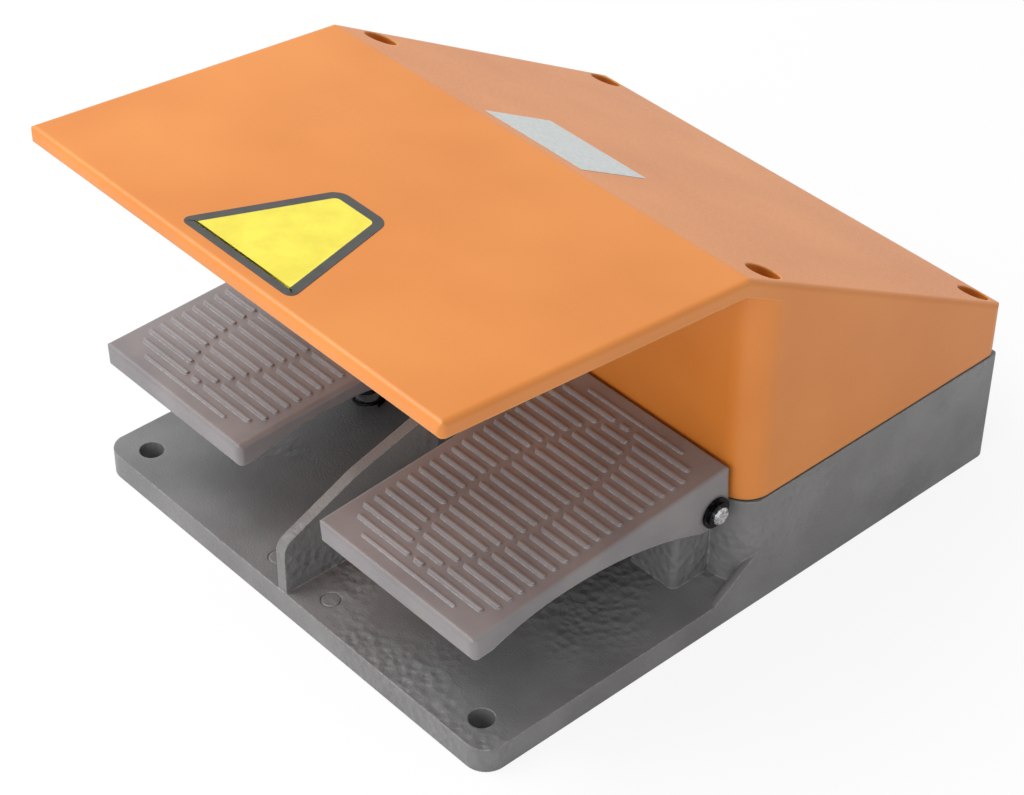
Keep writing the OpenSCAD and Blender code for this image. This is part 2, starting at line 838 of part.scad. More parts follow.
module gasket_outline() {
    front = bay_d + gasket_inset;
    front_r = wall_corner_r - cover_inset - gasket_inset;
    rear_r = rear_corner_r - gasket_inset;
    plan(cover_w - 2 * gasket_inset, front, cover_rear_y - gasket_inset - front, front_r, rear_r);
}

module cover_gasket() {
    color(gasket_black) from_front() translate([0, 0, base_h]) linear_extrude(height = gasket_t)
        difference() {
            union() {
                difference() {
                    gasket_outline();
                    plan(chamber_w, chamber_y, chamber_d, wall_corner_r - base_wall_t, inner_rear_r);
                }
                intersection() {
                    at_cover_screws() circle(d = post_d);
                    gasket_outline();
                }
            }
            at_cover_screws() circle(d = screw_d + 2 * screw_hole_gap);
        }
}

module cover_screws() {
    color(bright_steel) from_front() at_cover_screws() translate([0, 0, screw_seat_z])
        screw(screw_d, screw_l, screw_head_d, screw_d, 0.83 * screw_d);
}

// ---- Pedals ----

function lens_half(y) = lens_a * sqrt(max(0, 1 - pow((y - tread_mid_y) / lens_b, 2)));

// Half-round bar of width w from x0 to x1, its foot sunk in the tread and its ends round in plan
module rib(x0, x1, y, w) {
    end_d = w + 2 * fit_gap;
    straight = x1 - x0 - end_d;
    translate([x0, y, tread_rise + rib_h * w / rib_w - w / 2]) intersection() {
        translate([-1, 0, 0]) to_right() cylinder(d = w, h = x1 - x0 + 2);
        linear_extrude(height = w) {
            translate([end_d / 2, -end_d / 2]) square([straight, end_d]);
            translate([end_d / 2, 0]) circle(d = end_d);
            translate([end_d / 2 + straight, 0]) circle(d = end_d);
        }
    }
}

// Rows of ribs parted by a lens; the end rows are single and shorter
module tread_ribs() {
    last = rib_rows - 1;
    for (row = [0:last]) {
        y = rib_rear_y - row * rib_pitch;
        edge = min(row, last - row);
        if (edge == 0) {
            rib(-end_rib_reach, end_rib_reach, y, end_rib_w);
        } else {
            reach = rib_reach - (edge == 1 ? second_row_cut : 0);
            inner = lens_half(y) - lens_gap / 2;
            if (inner > rib_w * 0.6) {
                rib(-inner, inner, y, rib_w);
            }
            rib(-reach, -inner - lens_gap, y, rib_w);
            rib(inner + lens_gap, reach, y, rib_w);
        }
    }
}

// Side view of the skirts, with the arch cut out between lip and pivot boss
module skirt_outline() {
    lower_edge_r = 1.5;
    rear_edge_r = 1.2;
    difference() {
        union() {
            polygon(rounded([
                [-pedal_reach, tread_rise, pedal_edge_r],
                [-pedal_reach, lip_bottom, lower_edge_r],
                [-arch_y, lip_bottom, 0],
                [-0.3 * pedal_boss_r, -0.95 * pedal_boss_r, 0],
                [pedal_tail, -pin_d / 4, 0],
                [pedal_tail, tread_rise, rear_edge_r]
            ]));
            circle(r = pedal_boss_r - boss_inset);
        }
        intersection() {
            translate([-arch_y, arch_top - arch_front_r]) circle(r = arch_front_r, $fn = 200);
            translate([-arch_y - arch_r, -arch_r]) square([arch_r, 2 * arch_r]);
        }
        intersection() {
            translate([-arch_y, arch_top - arch_r]) circle(r = arch_r, $fn = 200);
            translate([-arch_y - eps, -arch_r]) square([arch_r, 2 * arch_r]);
        }
    }
}

module pedal_shell() {
    half = pedal_w / 2;
    rear_corner = 1.5;
    intersection() {
        across(pedal_w) skirt_outline();
        translate([0, 0, -reach_all / 2]) linear_extrude(height = reach_all)
            plan(pedal_w, -pedal_reach, pedal_reach + pedal_tail, pedal_corner_r, rear_corner);
        along(-reach_all / 2, reach_all) {
            translate([-half, -reach_all / 2]) square([pedal_w, reach_all / 2 + tread_rise - pedal_edge_r]);
            translate([-half + pedal_edge_r, 0]) square([pedal_w - 2 * pedal_edge_r, tread_rise]);
            for (x = [-half + pedal_edge_r, half - pedal_edge_r]) {
                translate([x, tread_rise - pedal_edge_r]) circle(r = pedal_edge_r);
            }
        }
    }
}

// Lever under the pivot, with a round nose against the push rod
module heel() {
    hub_r = pin_d / 2 + 5;
    root = hub_r - 1;
    across(heel_w) {
        circle(r = hub_r);
        translate([-hub_r, 0]) square([pedal_tail + hub_r - boss_inset, under_tread + 1]);
        polygon([[-root, -2], [root, -2], [nose_r, -heel_reach], [-nose_r, -heel_reach]]);
        translate([0, -heel_reach]) circle(r = nose_r);
    }
}

// Pedal about its own pivot, tread level
module pedal_casting() {
    inner_w = pedal_w - 2 * skirt_t;
    cup_d = spring_d + 2 * cup_gap;
    difference() {
        union() {
            difference() {
                pedal_shell();
                translate([-inner_w / 2, -pedal_reach + lip_t, under_tread - reach_all / 2])
                    cube([inner_w, reach_all, reach_all / 2]);
            }
            heel();
            translate([0, -spring_y, under_tread - cup_h]) ring(cup_d + 2 * cup_wall_t, cup_d, cup_h + 1);
            tread_ribs();
        }
        to_right() cylinder(d = pin_hole_d, h = 2 * pedal_w, center = true);
    }
}

module pedal(side, tilt) {
    color(cast_grey) at_pivot(side) rotate([tilt, 0, 0]) pedal_casting();
}

module left_pedal() {
    pedal(LEFT, left_tilt);
}

module right_pedal() {
    pedal(RIGHT, right_tilt);
}

// ---- Pivots ----

module at_pivot(side) {
    from_front() translate([pedal_x(side), pin_y, pin_h]) children();
}

module pivot_pin(side) {
    chamfer = 0.8;
    half = pin_l / 2;
    color(bright_steel) at_pivot(side) to_right() rotate_extrude() polygon([
        [0, -half], [pin_d / 2 - chamfer, -half], [pin_d / 2, -half + chamfer],
        [pin_d / 2, -clip_x - groove_w], [groove_d / 2, -clip_x - groove_w],
        [groove_d / 2, -clip_x], [pin_d / 2, -clip_x],
        [pin_d / 2, clip_x], [groove_d / 2, clip_x],
        [groove_d / 2, clip_x + groove_w], [pin_d / 2, clip_x + groove_w],
        [pin_d / 2, half - chamfer], [pin_d / 2 - chamfer, half], [0, half]
    ]);
}

// Retaining clip in its groove, its mouth to the rear and below, with a raised hub outside it
module pin_clip() {
    mouth_turn = -60;
    translate([clip_x + (groove_w - clip_t) / 2, 0, 0]) to_right() {
        rotate(mouth_turn) shaft_clip(pin_d, clip_d);
        translate([0, 0, clip_t - eps]) ring(hub_d, pin_d + 2 * fit_gap, hub_t + eps);
    }
}

module pin_clips(side) {
    color(black_steel) at_pivot(side) mirror_pair() pin_clip();
}

module pivot_spacers(side) {
    start = pillar_gap / 2 + pillar_w + seat_gap;
    color(nylon_white) at_pivot(side) mirror_pair() {
        translate([start, 0, 0]) to_right() ring(spacer_d, pin_hole_d, spacer_l);
    }
}

// ---- Return springs ----

// Centre line height of the wire after t turns of n, with close-wound end turns
function coil_rise(t, n, height) =
    let (close = wire_d + 0.1, open = (height - wire_d - 2 * close) / (n - 2))
    t < 1 ? close * t : t > n - 1 ? height - wire_d - close * (n - t) : close + open * (t - 1);

module coil_spring(height) {
    sides = 6;
    per_turn = 14;
    rings = spring_turns * per_turn;
    points = [
        for (i = [0:rings], j = [0:sides - 1])
            let (
                turn = 360 * i / per_turn,
                a = 360 * j / sides,
                r = spring_r + wire_d / 2 * cos(a),
                z = wire_d / 2 + coil_rise(i / per_turn, spring_turns, height) + wire_d / 2 * sin(a)
            )
            [r * cos(turn), r * sin(turn), z]
    ];
    walls = [
        for (i = [0:rings - 1], j = [0:sides - 1])
            let (a = i * sides + j, b = i * sides + (j + 1) % sides)
            [a, a + sides, b + sides, b]
    ];
    first = [[for (j = [0:sides - 1]) j]];
    last = [[for (j = [sides - 1:-1:0]) rings * sides + j]];
    polyhedron(points, concat(walls, first, last));
}

module return_spring(side, tilt) {
    color(black_steel) from_front() translate([pedal_x(side), spring_line, spring_foot_z])
        coil_spring(spring_top_z(tilt) - spring_foot_z);
}

// ---- Push rods ----

module at_rod(side, y) {
    from_front() translate([pedal_x(side), y, rod_z]) children();
}

module push_rod(side, tilt) {
    r = rod_d / 2;
    groove_r = r - groove_depth;
    g = rod_groove_from_tip;
    chamfer = 0.5;
    color(bright_steel) at_rod(side, rod_tip_y(tilt)) to_rear() rotate_extrude() polygon([
        [0, 0], [0.6 * r, 0], [r, 0.4 * r],
        [r, g], [groove_r, g], [groove_r, g + groove_w], [r, g + groove_w],
        [r, rod_l - chamfer], [r - chamfer, rod_l], [0, rod_l]
    ]);
}

module rod_clip(side, tilt) {
    start = rod_tip_y(tilt) + rod_groove_from_tip + (groove_w - clip_t) / 2;
    color(black_steel) at_rod(side, start) to_rear() shaft_clip(rod_d, rod_clip_d);
}

module rod_bush(side) {
    wall = base_wall_t;
    pocket = (wall - seal_t) / 2 - seal_gap;
    color(bronze_brown) at_rod(side, bay_d) to_rear() rotate_extrude() polygon([
        [rod_hole_d / 2, 0], [bush_d / 2, 0], [bush_d / 2, wall], [bush_flange_d / 2, wall],
        [bush_flange_d / 2, wall + bush_flange_t], [rod_hole_d / 2, wall + bush_flange_t],
        [rod_hole_d / 2, wall - pocket], [seal_pocket_d / 2, wall - pocket],
        [seal_pocket_d / 2, pocket], [rod_hole_d / 2, pocket]
    ]);
}

module rod_seal(side) {
    color(rubber_black) at_rod(side, bay_d + base_wall_t / 2) to_rear() rotate_extrude()
        translate([rod_d / 2 + seal_gap + seal_t / 2, 0]) circle(d = seal_t, $fn = 24);
}

// ---- Switches ----

module at_switch(side) {
    from_front() translate([switch_x(side), switch_top_y, switch_bottom_z]) children();
}

module switch_case(side) {
    half = switch_l / 2;
    shelf = half - terminal_notch[0];
    back = switch_depth - terminal_notch[1];
    collar_l = 3;
    collar_d = button_d + 5;
    color(switch_brown) at_switch(side) difference() {
        union() {
            linear_extrude(height = switch_t) polygon([
                [-half, 1], [-half + 1, 0], [half - 1, 0], [half, 1],
                [half, back], [shelf, back], [shelf, switch_depth],
                [-shelf, switch_depth], [-shelf, back], [-half, back]
            ]);
            translate([side * button_shift, -collar_l, switch_t / 2]) to_rear()
                cylinder(d = collar_d, h = collar_l + 1);
        }
        translate([side * button_shift, -collar_l - 1, switch_t / 2]) to_rear()
            cylinder(d = button_d + 2 * running_gap, h = collar_l + button_bore + 1);
        for (x = [-1, 1]) {
            translate([x * switch_screw_pitch / 2, switch_screw_y - switch_top_y, -1])
                cylinder(d = switch_hole_d, h = switch_t + 2);
        }
    }
}

// Button with a domed end towards the rod and its root inside the case
module switch_button(side, tilt) {
    lag = rod_tip_y(right_tilt) - rod_tip_y(tilt);
    chamfer = 0.8;
    straight = button_out + button_root - chamfer;
    color(nylon_white) at_switch(side) translate([side * button_shift, button_root - lag, switch_t / 2])
        rotate([90, 0, 0]) {
            cylinder(d = button_d, h = straight);
            translate([0, 0, straight]) cylinder(d1 = button_d, d2 = button_d - 2 * chamfer, h = chamfer);
        }
}

// Screw terminal on a small tab
module terminal() {
    tab = [7, 0.8, 8];
    head_d = 6;
    head_h = 2.4;
    slot = [8, 1, 1];
    translate([-tab[0] / 2, 0, -tab[2] / 2]) cube(tab);
    translate([0, tab[1] - eps, 0]) to_rear() difference() {
        cylinder(d = head_d, h = head_h);
        translate([-slot[0] / 2, -slot[1] / 2, head_h - slot[2]]) cube([slot[0], slot[1], head_h]);
    }
}

module switch_terminals(side) {
    shelf = switch_depth - terminal_notch[1];
    end_x = switch_l / 2 - terminal_notch[0] / 2;
    color(brass_yellow) at_switch(side) translate([0, 0, switch_t / 2]) {
        translate([-end_x, shelf, 0]) terminal();
        translate([end_x, shelf, 0]) terminal();
        translate([0, switch_depth, 0]) terminal();
    }
}

module at_switch_screws() {
    for (side = [LEFT, RIGHT], x = [-1, 1]) {
        translate([switch_x(side) + x * switch_screw_pitch / 2, switch_screw_y, 0]) children();
    }
}

module switch_plate() {
    corner_r = 4;
    plate_d = plate_front + switch_depth + plate_rear;
    color(bright_steel) from_front() translate([0, 0, plate_bottom_z])
        linear_extrude(height = switch_plate_t) difference() {
            translate([plate_mid_x, 0])
                plan(plate_w, switch_top_y - plate_front, plate_d, corner_r, corner_r);
            at_switch_screws() circle(d = switch_hole_d);
            at_plate_posts() circle(d = plate_screw_d + 0.5);
        }
}

module plate_screws() {
    color(bright_steel) from_front() at_plate_posts() translate([0, 0, plate_bottom_z + switch_plate_t])
        slotted_screw(plate_screw_d, plate_screw_l, 1.8 * plate_screw_d, 0.64 * plate_screw_d);
}

module switch_screws() {
    length = switch_t + switch_plate_t + nut_t + switch_screw_end;
    color(bright_steel) from_front() at_switch_screws() translate([0, 0, switch_bottom_z + switch_t])
        slotted_screw(switch_screw_d, length, switch_nut_d, 0.65 * switch_screw_d);
}

module switch_nuts() {
    color(bright_steel) from_front() at_switch_screws() translate([0, 0, plate_bottom_z - nut_t])
        difference() {
            hexagon(switch_nut_d, nut_t);
            translate([0, 0, -1]) cylinder(d = switch_screw_d + 2 * fit_gap, h = nut_t + 2);
        }
}

// ---- Wiring chamber ----

module at_block_ways() {
    for (i = [0:block_ways - 1]) {
        translate([(i - (block_ways - 1) / 2) * block_pitch, block_y, floor_t]) children();
    }
}

module terminal_block() {
    step = 0.18 * block_d;
    wire_z = 0.34 * block_h;
    screw_hole_z = 0.4 * block_h;
    color(nylon_white) from_front() difference() {
        translate([0, block_y, floor_t]) across(block_w) polygon([
            [0, 0], [block_d, 0], [block_d, block_step_h], [block_d - step, block_step_h],
            [block_d - step, block_h], [step, block_h], [step, block_step_h], [0, block_step_h]
        ]);
        at_block_ways() {
            translate([0, -1, wire_z]) to_rear() cylinder(d = wire_hole_d, h = block_d + 2);
            for (y = terminal_screw_y) {
                translate([0, y, screw_hole_z]) cylinder(d = terminal_screw_d + 2 * fit_gap, h = block_h);
            }
        }
        at_block_screws() {
            cylinder(d = block_screw_d + 0.4, h = floor_t + block_h + 1);
            translate([0, 0, floor_t + block_screw_seat]) cylinder(d = 2.1 * block_screw_d, h = block_h);
        }
    }
}

module terminal_screws() {
    length = 0.36 * block_h;
    slot = [8, 0.8, 1];
    color(bright_steel) from_front() at_block_ways() for (y = terminal_screw_y) {
        translate([0, y, block_h / 2]) difference() {
            cylinder(d = terminal_screw_d, h = length);
            translate([-slot[0] / 2, -slot[1] / 2, length - slot[2]]) cube([slot[0], slot[1], length]);
        }
    }
}

module block_screws() {
    color(bright_steel) from_front() at_block_screws() translate([0, 0, floor_t + block_screw_seat])
        slotted_screw(block_screw_d, block_screw_l, 1.8 * block_screw_d, 0.68 * block_screw_d);
}

module earth_washer() {
    color(bright_steel) from_front() translate([earth_x, earth_y, floor_t + earth_boss_h])
        ring(earth_washer_d, earth_d + 0.4, earth_washer_t);
}

module earth_screw() {
    color(brass_yellow) from_front() translate([earth_x, earth_y, earth_head_z])
        slotted_screw(earth_d, earth_screw_l, 1.8 * earth_d, 0.64 * earth_d);
}

// ---- Cable gland ----

module at_gland(y) {
    from_front() translate([0, y, gland_h]) to_rear() children();
}

module gland_body() {
    inside = base_wall_t + locknut_t + gland_thread_end;
    color(gland_grey) at_gland(base_d) difference() {
        union() {
            translate([0, 0, -inside]) cylinder(d = gland_d, h = inside + gland_washer_t + 1);
            translate([0, 0, gland_washer_t]) hexagon(gland_hex_w, gland_hex_t);
            translate([0, 0, gland_washer_t]) cylinder(d = gland_neck_d, h = gland_hex_t + gland_neck_l);
        }
        translate([0, 0, -inside - 1]) cylinder(d = gland_bore_d, h = inside + gland_out);
        translate([0, 0, gland_pocket_z]) cylinder(d = gland_pocket_d, h = gland_out);
    }
}

module gland_washer() {
    color(rubber_black) at_gland(base_d) ring(gland_flange_d, gland_d + 2 * seat_gap, gland_washer_t);
}

module gland_locknut() {
    color(gland_grey) at_gland(base_d - base_wall_t - locknut_t) difference() {
        hexagon(locknut_w, locknut_t);
        translate([0, 0, -1]) cylinder(d = gland_d + 2 * fit_gap, h = locknut_t + 2);
    }
}

module gland_seal() {
    length = gland_out - gland_cap_lip - gland_pocket_z - seat_gap;
    color(rubber_black) at_gland(base_d + gland_pocket_z)
        ring(gland_pocket_d - 2 * seal_gap, cable_d, length);
}

module gland_cap() {
    hex_l = 0.6 * gland_cap_l;
    straight_l = 0.7 * gland_cap_l;
    nose_d = gland_mouth_d + 5;
    color(gland_grey) at_gland(base_d + gland_face + gland_cap_gap) difference() {
        union() {
            hexagon(gland_cap_d, hex_l);
            cylinder(d = gland_cap_d, h = straight_l);
            translate([0, 0, straight_l])
                cylinder(d1 = gland_cap_d, d2 = nose_d, h = gland_cap_l - straight_l);
        }
        translate([0, 0, -1]) {
            cylinder(d = gland_neck_d + 2 * fit_gap, h = gland_neck_l + seat_gap);
            cylinder(d = gland_pocket_d, h = gland_cap_l - gland_cap_lip + 1);
            cylinder(d = gland_mouth_d, h = gland_cap_l + 2);
        }
    }
}

// ---- Nodes ----

base_casting();
top_cover();
cover_gasket();
cover_screws();
left_pedal();
right_pedal();
pivot_pin(LEFT);  // left_pivot_pin
pivot_pin(RIGHT);  // right_pivot_pin
pin_clips(LEFT);  // left_pin_clips
pin_clips(RIGHT);  // right_pin_clips
pivot_spacers(LEFT);  // left_pivot_spacers
pivot_spacers(RIGHT);  // right_pivot_spacers
return_spring(LEFT, left_tilt);  // left_return_spring
return_spring(RIGHT, right_tilt);  // right_return_spring
push_rod(LEFT, left_tilt);  // left_push_rod
push_rod(RIGHT, right_tilt);  // right_push_rod
rod_bush(LEFT);  // left_rod_bush
rod_bush(RIGHT);  // right_rod_bush
rod_seal(LEFT);  // left_rod_seal
rod_seal(RIGHT);  // right_rod_seal
rod_clip(LEFT, left_tilt);  // left_rod_clip
rod_clip(RIGHT, right_tilt);  // right_rod_clip
switch_case(LEFT);  // left_switch_case
switch_case(RIGHT);  // right_switch_case
switch_button(LEFT, left_tilt);  // left_switch_button
switch_button(RIGHT, right_tilt);  // right_switch_button
switch_terminals(LEFT);  // left_switch_terminals
switch_terminals(RIGHT);  // right_switch_terminals
switch_plate();
plate_screws();
switch_screws();
switch_nuts();
terminal_block();
terminal_screws();
block_screws();
earth_screw();
earth_washer();
gland_body();
gland_washer();
gland_locknut();
gland_seal();
gland_cap();
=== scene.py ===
# %% [markdown]
# # A guarded twin-pedal foot switch
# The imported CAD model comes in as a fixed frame: every casting, pin, spring and screw already
# stands at its real size and place. This lesson dresses it: paint, powder coat, steel and
# rubber go on its surfaces, and the thin things that are stuck on it are modelled here.

import math

import bmesh
import bpy
from mathutils import Matrix, Vector


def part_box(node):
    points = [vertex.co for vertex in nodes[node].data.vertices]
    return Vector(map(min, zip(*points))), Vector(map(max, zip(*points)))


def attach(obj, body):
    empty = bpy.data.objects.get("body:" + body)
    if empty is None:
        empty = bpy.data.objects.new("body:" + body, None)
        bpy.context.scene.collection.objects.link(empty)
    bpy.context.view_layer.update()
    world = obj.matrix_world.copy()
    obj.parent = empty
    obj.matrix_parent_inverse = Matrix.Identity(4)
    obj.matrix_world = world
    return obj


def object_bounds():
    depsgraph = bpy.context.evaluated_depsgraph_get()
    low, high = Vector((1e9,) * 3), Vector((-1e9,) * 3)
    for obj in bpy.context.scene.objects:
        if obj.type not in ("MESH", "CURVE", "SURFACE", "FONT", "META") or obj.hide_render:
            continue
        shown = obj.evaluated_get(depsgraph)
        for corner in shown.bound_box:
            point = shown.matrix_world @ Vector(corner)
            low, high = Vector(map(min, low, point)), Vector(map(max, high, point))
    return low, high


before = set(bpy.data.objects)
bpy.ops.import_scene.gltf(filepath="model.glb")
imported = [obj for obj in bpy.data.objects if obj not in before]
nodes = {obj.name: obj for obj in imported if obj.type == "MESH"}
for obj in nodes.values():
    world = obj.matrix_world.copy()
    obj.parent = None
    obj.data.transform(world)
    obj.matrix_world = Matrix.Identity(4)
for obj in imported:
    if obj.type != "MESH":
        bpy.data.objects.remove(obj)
cad_box = [list(corner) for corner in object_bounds()]
print("nodes:", len(nodes), "box in metres:", cad_box)

MM = 0.001
scene = bpy.context.scene

# %% [markdown]
# ## The camera
# The viewer stands to the right and looks down on the pedals. The camera is described as a
# tripod would be: a point to aim at, a distance, an angle round the object, a height angle and
# a slight roll.

# %% Set the camera
plate_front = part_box("base_casting")[0].y
AIM = Vector((9.4 * MM, plate_front + 118.16 * MM, 56.66 * MM))
DISTANCE = 1105.6 * MM
AZIMUTH, ELEVATION, ROLL = (math.radians(a) for a in (47.63, 38.69, 0.586))
LENS = 92.41

look = Vector((-math.sin(AZIMUTH) * math.cos(ELEVATION),
               math.cos(AZIMUTH) * math.cos(ELEVATION),
               -math.sin(ELEVATION)))
level = look.cross(Vector((0, 0, 1))).normalized()
upright = level.cross(look)
right = level * math.cos(ROLL) + upright * math.sin(ROLL)
up = right.cross(look)

camera = bpy.data.objects.new("camera", bpy.data.cameras.new("camera"))
scene.collection.objects.link(camera)
camera.data.lens = LENS
camera.data.sensor_width = 36
camera.data.clip_end = 20
camera.matrix_world = Matrix((
    (right.x, up.x, -look.x, AIM.x - look.x * DISTANCE),
    (right.y, up.y, -look.y, AIM.y - look.y * DISTANCE),
    (right.z, up.z, -look.z, AIM.z - look.z * DISTANCE),
    (0, 0, 0, 1),
))
scene.camera = camera
print("camera at", [round(v, 3) for v in camera.matrix_world.translation])

# %% [markdown]
# ## Helpers
# Colours are written as the hex values a paint chart gives, and one function turns them to the
# linear light that Cycles works in. One more function adds a shader node with its settings
# and its links, so that each material below reads as a short recipe.

# %% Colour and node helpers
def linear(hex_colour):
    """A hex sRGB colour as linear RGBA."""
    channels = [int(hex_colour[i:i + 2], 16) / 255 for i in (1, 3, 5)]
    return [c / 12.92 if c <= 0.04045 else ((c + 0.055) / 1.055) ** 2.4 for c in channels] + [1.0]


def add(tree, kind, settings=None, **inputs):
    """Adds a shader node with its properties; each input is a value or a (node, socket) link.

    A name such as _0 stands for the input with that number.
    """
    node = tree.nodes.new(kind)
    for name, value in (settings or {}).items():
        setattr(node, name, value)
    for name, value in inputs.items():
        key = int(name[1:]) if name[0] == "_" and name[1:].isdigit() else name.replace("_", " ")
        socket = node.inputs[key]
        if isinstance(value, tuple) and hasattr(value[0], "outputs"):
            tree.links.new(value[0].outputs[value[1]], socket)
        else:
            socket.default_value = value
    return node


def new_material(name):
    """An empty material with its output, Object coordinates and a Principled shader."""
    material = bpy.data.materials.new(name)
    material.use_nodes = True
    tree = material.node_tree
    tree.nodes.clear()
    shader = add(tree, "ShaderNodeBsdfPrincipled")
    output = add(tree, "ShaderNodeOutputMaterial", Surface=(shader, "BSDF"))
    place = add(tree, "ShaderNodeTexCoord")
    return material, tree, shader, place


def ramp(tree, source, stops):
    """A colour ramp over a (node, socket) value; stops are (position, hex or grey) pairs."""
    node = add(tree, "ShaderNodeValToRGB", Fac=source)
    elements = node.color_ramp.elements
    while len(elements) < len(stops):
        elements.new(0.5)
    for element, (position, colour) in zip(elements, stops):
        element.position = position
        element.color = linear(colour) if isinstance(colour, str) else (colour, colour, colour, 1)
    return node


def dress(material, *names):
    """Puts a material on CAD nodes."""
    for name in names:
        data = nodes[name].data
        data.materials.clear()
        data.materials.append(material)


print("helpers ready for", len(nodes), "pieces")

# %% [markdown]
# ## Stage and light
# A plain white floor keeps the object's soft shadow. To the camera, and in reflections, the
# background is plain white; the light on the object comes from large soft lamps, as in a
# light tent, so that the paint shows about the colour it is written in.

# %% Floor
bpy.ops.object.select_all(action="DESELECT")
bpy.ops.mesh.primitive_plane_add(size=12, location=(0, 0, cad_box[0][2] - 0.2 * MM))
floor = bpy.context.object
floor.name = "floor"

# matt white paper; for the camera most of it is plain white, and the rest keeps the shadow
FLOOR_WHITE = 0.86
material = bpy.data.materials.new("white_studio_floor")
material.use_nodes = True
tree = material.node_tree
tree.nodes.clear()
rays = add(tree, "ShaderNodeLightPath")
share = add(tree, "ShaderNodeMath", {"operation": "MULTIPLY"},
            _0=(rays, "Is Camera Ray"), _1=FLOOR_WHITE)
paper = add(tree, "ShaderNodeBsdfDiffuse", Color=linear("#F6F6F6"))
white = add(tree, "ShaderNodeEmission", Color=(1, 1, 1, 1), Strength=1.0)
mix = add(tree, "ShaderNodeMixShader", Fac=(share, 0), _1=(paper, 0), _2=(white, 0))
add(tree, "ShaderNodeOutputMaterial", Surface=(mix, 0))
floor.data.materials.append(material)
print("floor at height", round(floor.location.z, 5), "m")

# %% World and lamps
# how bright the surroundings are to the surfaces, beside the plain white that the camera sees
FILL = 0.6
world = bpy.data.worlds.new("studio")
scene.world = world
world.use_nodes = True
tree = world.node_tree
tree.nodes.clear()
rays = add(tree, "ShaderNodeLightPath")
seen = add(tree, "ShaderNodeMath", {"operation": "MAXIMUM"},
           _0=(rays, "Is Camera Ray"), _1=(rays, "Is Glossy Ray"))
seen = add(tree, "ShaderNodeMath", {"operation": "MAXIMUM"},
           _0=(seen, 0), _1=(rays, "Is Transmission Ray"))
fill = add(tree, "ShaderNodeBackground", Color=(1, 1, 1, 1), Strength=FILL)
white = add(tree, "ShaderNodeBackground", Color=(1, 1, 1, 1), Strength=1.0)
mix = add(tree, "ShaderNodeMixShader", Fac=(seen, 0), _1=(fill, 0), _2=(white, 0))
add(tree, "ShaderNodeOutputWorld", Surface=(mix, 0))


MIDDLE = Vector((0, 0, 0.08))


def softbox(name, place_m, size, watts):
    """A square area lamp that faces the middle of the object, size in metres."""
    data = bpy.data.lights.new(name, "AREA")
    data.size = size
    data.energy = watts
    lamp = bpy.data.objects.new(name, data)
    scene.collection.objects.link(lamp)
    lamp.location = place_m
    lamp.rotation_euler = (MIDDLE - lamp.location).to_track_quat("-Z", "Y").to_euler()
    return lamp


softbox("key_softbox", Vector((-0.7, -0.6, 1.4)), 1.0, 18)
softbox("front_softbox", Vector((0.5, -1.6, 0.7)), 0.9, 9)
scene.view_settings.view_transform = "Standard"

# %% [markdown]
# ## What every finish shares
# Real castings and sheet parts have no knife edges. The Bevel node rounds the shading of each
# edge, and the angle between the rounded and the true surface says where an edge is: on the
# castings and the cover the colour there is painted lighter, a painted highlight, on the
# castings mixed with worn paint. Noise and Voronoi textures give the grain, with sizes
# worked out from millimetres.

# %% Edge and grain helpers
def per_metre(size_mm):
    """The texture scale at which one grain is about size_mm across."""
    return 1 / (size_mm * MM)


def rounded(tree, radius_mm):
    """The normal of edges rounded to this radius, and how much of an edge each point is."""
    bevel = add(tree, "ShaderNodeBevel", {"samples": 6}, Radius=radius_mm * MM)
    surface = add(tree, "ShaderNodeNewGeometry")
    flat = add(tree, "ShaderNodeVectorMath", {"operation": "DOT_PRODUCT"},
               _0=(bevel, "Normal"), _1=(surface, "Normal"))
    # where this is 1, the cast paint and the powder coat paint their edges lighter: a painted highlight, on
    # the castings mixed with worn paint
    edge = ramp(tree, (flat, "Value"), [(0.80, 1.0), (0.985, 0.0)])
    return bevel, edge


def grain(tree, place, size_mm, detail=2.0):
    """Noise whose grains are size_mm across."""
    return add(tree, "ShaderNodeTexNoise", Vector=(place, "Object"),
               Scale=per_metre(size_mm), Detail=detail)


def bump(tree, height, depth_mm, below):
    """Raises the surface by a (node, socket) height over the normal of the node below."""
    return add(tree, "ShaderNodeBump", Height=height, Distance=depth_mm * MM, Strength=1.0,
               Normal=(below, "Normal"))


def blend_colour(tree, share, first, second):
    """Mixes two colours, each a hex value or a (node, socket) link, by a (node, socket) share."""
    values = [linear(c) if isinstance(c, str) else c for c in (first, second)]
    return add(tree, "ShaderNodeMixRGB", Fac=share, _1=values[0], _2=values[1])


def link(tree, shader, **sockets):
    """Links (node, socket) outputs to the shader's own sockets."""
    for name, (node, socket) in sockets.items():
        tree.links.new(node.outputs[socket], shader.inputs[name.replace("_", " ")])


print("a 1 mm grain has texture scale", round(per_metre(1.0)))

# %% [markdown]
# ## Grey casting paint
# The base and the pedals are aluminium castings under a sprayed semi-gloss grey enamel. Sand
# in the mould leaves a grain that the paint softens, and where the paint ran thick it dried in
# wrinkles. One recipe serves both, with the grain and the wrinkles set for each: the pedals
# are smoother, because shoes polish them, and their grey has a faint mauve tint that is a
# painted reflection of the orange cover. The sand's real grain is about a third of a
# millimetre, too fine to show here, so it is drawn three times as coarse.

# %% Cast paint
PAINT_IOR = 1.5
CAST_EDGE_MM = 1.0
CLOUD_MM = 34
SCUFF_AND_HIGHLIGHT_MM = 1.6
WRINKLE_MM = 4.0
WRINKLED_PATCH_MM = 60


